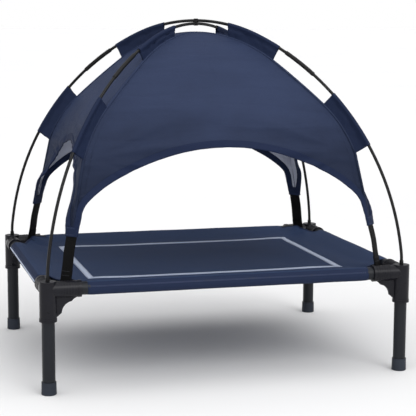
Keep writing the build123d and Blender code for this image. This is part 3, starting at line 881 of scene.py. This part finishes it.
def mat_calm(x, y):
    """Sag and unevenness of the mat about its plane, none at the rails."""
    a = max(0.0, 1 - (x / (HALF_X - 0.012)) ** 2)
    b = max(0.0, 1 - (y / (HALF_Y - 0.012)) ** 2)
    spoke = math.atan2(HALF_Y - abs(y), HALF_X - abs(x))
    near = math.exp(-math.hypot(HALF_X - abs(x), HALF_Y - abs(y)) / 0.13)
    pull = 0.0021 * math.sin(spoke * 13 + 2 * ripple(x, y, 0, 6, 3.3)) * near
    wave = 0.0007 * ripple(x, y, 0, 8, 5.5) + 0.0002 * ripple(x, y, 0, 30, 1.5)
    return (pull + wave) * min(1.0, 6 * a) * min(1.0, 6 * b) - MAT_SAG * a * b


def mat_height(x, y):
    """Height of the mat cloth, rising to the rails over its hems and drawn up at the straps."""
    rise = math.hypot(rise_to_rail(max(0.0, HALF_X - abs(x))), rise_to_rail(max(0.0, HALF_Y - abs(y))))
    from_strap = math.hypot(abs(x) - TONGUE_S * COS_D, abs(y) - TONGUE_S * SIN_D)
    lift = BACK_CORNER_LIFT if y > 0 else FRONT_CORNER_LIFT
    return RAIL_Z + rise + mat_calm(x, y) + lift * math.exp(-(from_strap / CORNER_LIFT_REACH) ** 2)


def hem_section(inner):
    """(deep, rise) round a rail: in along the mat, over, round and back below to the seam."""
    section = [(deep, None) for deep in np.linspace(inner, TONGUE_EDGE, 20)]
    section += [(deep, None) for deep in np.linspace(TONGUE_EDGE, TOUCH[0], 6)[1:-1]]
    for angle in np.linspace(REACH, math.tau - REACH, 30):
        section.append((HEM_R * math.cos(angle), HEM_R * math.sin(angle)))
    for t in np.linspace(0, 1, 8)[1:]:
        section.append((TOUCH[0] * (1 - t) + HEM_SEAM * t, -TOUCH[1] * (1 - t) - 0.0014 * t))
    return section


def hem_strip(side, places, seed):
    """Cloth of one side, from the mat's middle part round its rail to the seam below."""
    inner = HALF_X - FRONT_HEM_END if side.faces_x else HALF_Y - SIDE_HEM_END
    section = hem_section(inner)
    points, uvs = [], []
    for place in places:
        end = min(place - places[0], places[-1] - place)
        run = 0.0
        last = None
        for deep, rise in section:
            spot = side.rail + side.across * place - side.outward * deep
            if rise is None:
                point = Vector((spot.x, spot.y, mat_height(spot.x, spot.y)))
            else:
                angle = math.degrees(math.atan2(rise, -deep))
                stitch = math.exp(-((angle - 26) / 13) ** 2)
                gather = place * math.tau / 0.0088 + 2.5 * ripple(place, seed, 0, 30, seed)
                slack = 0.0005 * noise.noise(Vector((place * 16, angle / 60, seed)))
                grow = 0.0007 * math.sin(gather) * stitch - 0.00035 * stitch + slack - 0.0005
                grow -= 0.0006 * math.exp(-end / 0.004)
                fade = min(1.0, math.hypot(min(0, deep), rise) / HEM_R) if deep > TOUCH[0] else 1.0
                factor = 1 + grow / HEM_R * fade if deep <= TOUCH[0] + 1e-6 else 1.0
                point = spot - side.outward * (deep * (factor - 1)) + upward(rise * factor)
            if last is not None:
                run += (point - last).length
            last = point
            points.append(point)
            uvs.append((place, run))
    return mesh_piece("strip", points, grid_faces(len(places), len(section)), uvs)


def tongue_edge(t):
    """Point on the mat's free corner edge, 0 at the front or back hem and 1 at the side hem."""
    low = Vector((FRONT_HEM_END, HALF_Y - TONGUE_EDGE))
    middle = Vector((TONGUE_S * COS_D, TONGUE_S * SIN_D))
    high = Vector((HALF_X - TONGUE_EDGE, SIDE_HEM_END))
    bend = middle * 2 - (low + high) / 2
    return low * (1 - t) ** 2 + bend * 2 * t * (1 - t) + high * t ** 2


def corner_tongue(side_x, side_y):
    """Free corner of the mat between two hems."""
    steps = 20
    inner_x, inner_y = FRONT_HEM_END, SIDE_HEM_END
    lows = [HALF_X - d for d in np.linspace(HALF_X - inner_x, TONGUE_EDGE, steps)]
    lefts = [HALF_Y - d for d in np.linspace(HALF_Y - inner_y, TONGUE_EDGE, steps)]
    corner, low_end, left_end, tip = (Vector((inner_x, inner_y)), Vector((lows[-1], inner_y)),
                                      Vector((inner_x, lefts[-1])), tongue_edge(0.5))
    points, uvs = [], []
    for i, x in enumerate(lows):
        a = i / (steps - 1)
        for j, y in enumerate(lefts):
            b = j / (steps - 1)
            bottom, top = Vector((x, inner_y)), tongue_edge(0.5 * a)
            left, right = Vector((inner_x, y)), tongue_edge(1 - 0.5 * b)
            place = (bottom * (1 - b) + top * b + left * (1 - a) + right * a
                     - corner * ((1 - a) * (1 - b)) - low_end * (a * (1 - b))
                     - left_end * ((1 - a) * b) - tip * (a * b))
            spot = Vector((place.x * side_x, place.y * side_y))
            points.append((spot.x, spot.y, mat_height(spot.x, spot.y)))
            uvs.append((spot.x, spot.y))
    faces = grid_faces(steps, steps)
    if side_x * side_y > 0:
        faces = [tuple(reversed(f)) for f in faces]
    return mesh_piece("tongue", points, faces, uvs)


def mat_cloth():
    """The whole mat as one cloth: middle, four hems round their rails and four free corners."""
    xs = np.linspace(-FRONT_HEM_END, FRONT_HEM_END, 151)
    ys = np.linspace(-SIDE_HEM_END, SIDE_HEM_END, 101)
    points = [(x, y, mat_height(x, y)) for x in xs for y in ys]
    middle = mesh_piece("mat_cloth", points, [tuple(reversed(f)) for f in grid_faces(len(xs), len(ys))],
                        [(x, y) for x in xs for y in ys])
    parts = [middle]
    for name, places, seed in (("front", xs, 1.0), ("left", ys, 2.5), ("back", xs, 4.0), ("right", ys, 5.5)):
        parts.append(hem_strip(SIDES[name], places, seed))
    parts += [corner_tongue(side_x, side_y) for side_x, side_y in CORNERS.values()]
    whole = join("mat_cloth", parts)
    merge_close(whole)
    area = sum(face.area for face in whole.data.polygons)
    whole.data.materials.append(MAT_CLOTH)
    whole.data.materials.append(MAT_SHADED_CLOTH)
    # Faces past the rail's outer side and below the rail take the darker copy: painted shade.
    for face in whole.data.polygons:
        middle = face.center
        over = max(abs(middle.x) - HALF_X, abs(middle.y) - HALF_Y) > 0.0045
        face.material_index = int(over or middle.z < RAIL_Z - 0.004)
    solidify(whole, 0.0008, -1.0)
    return whole, area


def corner_binding():
    """Narrow turned edge along the mat's four free corners."""
    parts = []
    for side_x, side_y in CORNERS.values():
        route = []
        for t in np.linspace(0, 1, 40):
            spot = tongue_edge(t)
            x, y = spot.x * side_x, spot.y * side_y
            route.append(Vector((x, y, mat_height(x, y) - 0.0006)))
        inward = Vector((-side_x * COS_D, -side_y * SIN_D, 0))
        points, uvs = [], []
        for place in route:
            for k in range(8):
                angle = math.tau / 8 * k
                points.append(place + inward * (0.0028 * math.cos(angle) + 0.0012)
                              + upward(0.0011 * math.sin(angle)))
                uvs.append((place.x, place.y + 0.001 * k))
        parts.append(mesh_piece("edge", points, grid_faces(len(route), 8, close_columns=True), uvs))
    edge = join("mat_corner_binding", parts)
    # Darker copy of the mat cloth: painted shade on the turned edge.
    edge.data.materials.append(MAT_SHADED_CLOTH)
    return edge


def tape_ring():
    """Flat tape laid on the mat as a rectangle, following its surface."""
    points, uvs, faces = [], [], []
    half_x, half_y = TAPE_HIGH.x, TAPE_HIGH.y
    ring = [(half_x, half_y), (-half_x, half_y), (-half_x, -half_y), (half_x, -half_y)]
    steps = 90
    strips = 5
    for side in range(4):
        (x0, y0), (x1, y1) = ring[side], ring[(side + 1) % 4]
        base = len(points)
        for k in range(steps + 1):
            for j in range(strips + 1):
                inset = TAPE_W * j / strips
                fx, fy = (half_x - inset) / half_x, (half_y - inset) / half_y
                x = (x0 + (x1 - x0) * k / steps) * fx
                y = (y0 + (y1 - y0) * k / steps) * fy
                crown = 0.0005 + 0.0003 * math.sin(math.pi * j / strips)
                points.append((x, y, mat_height(x, y) + crown))
                uvs.append((k / steps * (abs(x1 - x0) + abs(y1 - y0)), inset))
        faces += [tuple(base + i for i in reversed(f)) for f in grid_faces(steps + 1, strips + 1)]
    tape = mesh_piece("mat_tape_cloth", points, faces, uvs, TAPE_CLOTH)
    solidify(tape, 0.0006, -1.0)
    return tape


def tape_stitches():
    """Two rows of stitching round the tape rectangle."""
    rows = []
    for inset in (0.0016, TAPE_W - 0.0016):
        half_x, half_y = TAPE_HIGH.x - inset, TAPE_HIGH.y - inset
        ring = [(half_x, half_y), (-half_x, half_y), (-half_x, -half_y), (half_x, -half_y)]
        route = []
        for (x0, y0), (x1, y1) in zip(ring, ring[1:] + ring[:1]):
            for k in range(60):
                x, y = x0 + (x1 - x0) * k / 60, y0 + (y1 - y0) * k / 60
                route.append((x, y, mat_height(x, y) + 0.0008))
        rows.append(stitches(route, [(0, 0, 1)] * len(route), PALE_THREAD))
    return join("mat_tape_stitches", rows)


def hem_stitches(side):
    """Stitching on the outer face of a hem, and where it closes below."""
    half = SIDE_HEM_END if side.faces_x else FRONT_HEM_END
    along = Vector([abs(part) for part in side.across])
    rows = []
    for degrees in (26, 19):
        turn = math.radians(degrees)
        normal = side.outward * math.cos(turn) + upward(math.sin(turn))
        ends = [side.rail + along * (f * (half - 0.003)) + normal * (HEM_R - 0.0002) for f in (-1, 1)]
        rows.append(stitches(ends, [normal, normal], NAVY_THREAD))
    down = upward(-1)
    below = side.rail - side.outward * (HEM_SEAM - 0.004) - upward(0.0034)
    ends = [below + along * (f * half) for f in (-1, 1)]
    rows.append(stitches(ends, [down, down], NAVY_THREAD))
    return join(f"hem_stitches_{side.name}", rows)


def piping(side_x):
    """Pale piping strip on the outer face of a side hem."""
    low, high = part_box("mat_piping_right")
    x = (low.x + high.x) / 2 - 0.0004
    z = (low.z + high.z) / 2
    angles = np.linspace(0, math.tau, 12, endpoint=False)
    section = [(math.cos(angle) * 0.0009, math.sin(angle) * 0.0020) for angle in angles]
    rows = 120
    points, uvs = [], []
    for k in range(rows + 1):
        y = low.y + (high.y - low.y) * k / rows
        sway = 0.0003 * ripple(y, side_x, 0, 18, 2.2)
        for out, rise in section:
            points.append((side_x * (x + out), y, z + rise + sway))
            uvs.append((y, rise))
    name = "piping_right" if side_x > 0 else "piping_left"
    return mesh_piece(name, points, capped_faces(rows + 1, len(section)), uvs, TAPE_CLOTH)


# ==== CAD parts that stay, with their finishes =============================================
def finish_cad_parts():
    """Give each CAD part that shows its finish, by the first prefix that fits its name."""
    finishes = (
        ("corner_connector", CONNECTOR), ("foot_cap", FOOT), ("leg_tube", TUBE), ("rail_", TUBE),
        ("pole_a_ferrules", FERRULE), ("pole_b_ferrules", FERRULE), ("pole_a_tips", TIP),
        ("pole_b_tips", TIP), ("crossing_clip", TIP), ("pole_", ROD))
    for name, node in NODES.items():
        for prefix, material in finishes:
            if name.startswith(prefix):
                for slot in node.material_slots:
                    slot.material = material
                break


# ==== build ================================================================================
def set_piece(piece, body, slot, *replaced):
    """Put a piece on its body, in place of the CAD nodes it replaces; slot is not used."""
    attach(piece, body)
    if replaced:
        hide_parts(*replaced)
    return piece


def build_canopy():
    cloth, area = canopy_cloth()
    set_piece(cloth, "canopy", "canopy_cloth", *[f"canopy_panel_{name}" for name in SIDES])
    on_cloth = []
    for name, side in SIDES.items():
        on_cloth.append(set_piece(arch_hem(side), "canopy", "canopy_binding", f"canopy_hem_{name}"))
    for corner in CORNERS:
        on_cloth.append(set_piece(seam_cord(corner), "canopy", "canopy_cloth"))
        for level, ends in (("upper", UPPER_SLEEVE), ("lower", LOWER_SLEEVE)):
            sleeve = pole_sleeve(corner, level, ends)
            on_cloth.append(set_piece(sleeve, "canopy", "canopy_binding", f"{level}_sleeve_{corner}"))
        strap, tack = corner_strap(corner)
        on_cloth.append(set_piece(strap, "canopy", "webbing", f"corner_strap_{corner}"))
        on_cloth.append(set_piece(tack, "canopy", "webbing"))
        on_cloth += [set_piece(piece, "canopy", "canopy_binding") for piece in corner_cuff(corner)]


def build_mat():
    sheet, area = mat_cloth()
    set_piece(sheet, "cot", "mat_cloth", "mat_panel", "mat_hem_front", "mat_hem_back", "mat_hem_left",
              "mat_hem_right")
    on_sheet = [set_piece(corner_binding(), "cot", "mat_cloth")]
    for name in ("front", "back", "left", "right"):
        on_sheet.append(set_piece(hem_stitches(SIDES[name]), "cot", "mat_cloth"))
    on_sheet.append(set_piece(tape_ring(), "cot", "trim_tape", "mat_trim_tape"))
    on_sheet.append(set_piece(tape_stitches(), "cot", "trim_tape"))
    on_sheet.append(set_piece(piping(1), "cot", "trim_tape", "mat_piping_right"))
    on_sheet.append(set_piece(piping(-1), "cot", "trim_tape", "mat_piping_left"))
    for corner in CORNERS:
        on_sheet.append(set_piece(anchor_tab(corner), "cot", "webbing", f"strap_anchor_{corner}"))


# ==== floor, light and camera ==============================================================
def build_floor():
    """Plain pale floor, far wider than the view."""
    n = Nodes("floor_white")
    tone = n.ramp(n.noise(0.8, 2.0), (0.3, (0.79, 0.79, 0.79)), (0.7, (0.81, 0.81, 0.81)))
    paint = n.finish(Base_Color=tone, Roughness=0.9, Specular_IOR_Level=0.1)
    corners = [(-90, -90, 0), (90, -90, 0), (90, 90, 0), (-90, 90, 0)]
    mesh_piece("floor", corners, [(0, 1, 2, 3)], material=paint)


def build_light():
    """Broad overhead light from the front, with a dim surround that is white at the horizon."""
    world = bpy.data.worlds.new("studio")
    bpy.context.scene.world = world
    world.use_nodes = True
    tree = world.node_tree
    coordinates = tree.nodes.new("ShaderNodeTexCoord")
    split = tree.nodes.new("ShaderNodeSeparateXYZ")
    ramp = tree.nodes.new("ShaderNodeValToRGB")
    tree.links.new(coordinates.outputs["Generated"], split.inputs[0])
    tree.links.new(split.outputs["Z"], ramp.inputs["Fac"])
    elements = ramp.color_ramp.elements
    elements[0].position, elements[0].color = 0.08, (1, 1, 1, 1)
    elements[1].position, elements[1].color = 0.16, (0.36, 0.36, 0.37, 1)
    background = tree.nodes["Background"]
    tree.links.new(ramp.outputs["Color"], background.inputs["Color"])
    background.inputs["Strength"].default_value = 1.0
    suns = (("overhead", 24, -6, 120, 2.6), ("front", 50, 18, 30, 0.75))
    for name, tilt, turn, angle, strength in suns:
        light = bpy.data.lights.new(name, "SUN")
        light.energy = strength
        light.angle = math.radians(angle)
        obj = link(bpy.data.objects.new(name, light))
        obj.rotation_euler = (math.radians(tilt), 0, math.radians(turn))
    bpy.context.scene.view_settings.view_transform = "Standard"


def build_camera():
    """Camera where the perspective fit of the photograph puts it."""
    camera = bpy.data.cameras.new("camera")
    camera.lens = CAMERA_LENS
    camera.sensor_width = 36
    obj = link(bpy.data.objects.new("camera", camera))
    right = Vector((math.cos(CAMERA_YAW), math.sin(CAMERA_YAW), 0))
    ahead = Vector((-math.sin(CAMERA_YAW), math.cos(CAMERA_YAW), 0))
    up = upward(1)
    look = ahead * math.cos(CAMERA_PITCH) - up * math.sin(CAMERA_PITCH)
    above = up * math.cos(CAMERA_PITCH) + ahead * math.sin(CAMERA_PITCH)
    x_axis = right * math.cos(CAMERA_ROLL) + above * math.sin(CAMERA_ROLL)
    y_axis = above * math.cos(CAMERA_ROLL) - right * math.sin(CAMERA_ROLL)
    turn = Matrix((x_axis, y_axis, -look)).transposed().to_4x4()
    obj.matrix_world = Matrix.Translation(CAMERA_AT) @ turn
    bpy.context.scene.camera = obj


build_camera()
build_light()
build_floor()
finish_cad_parts()
build_canopy()
build_mat()
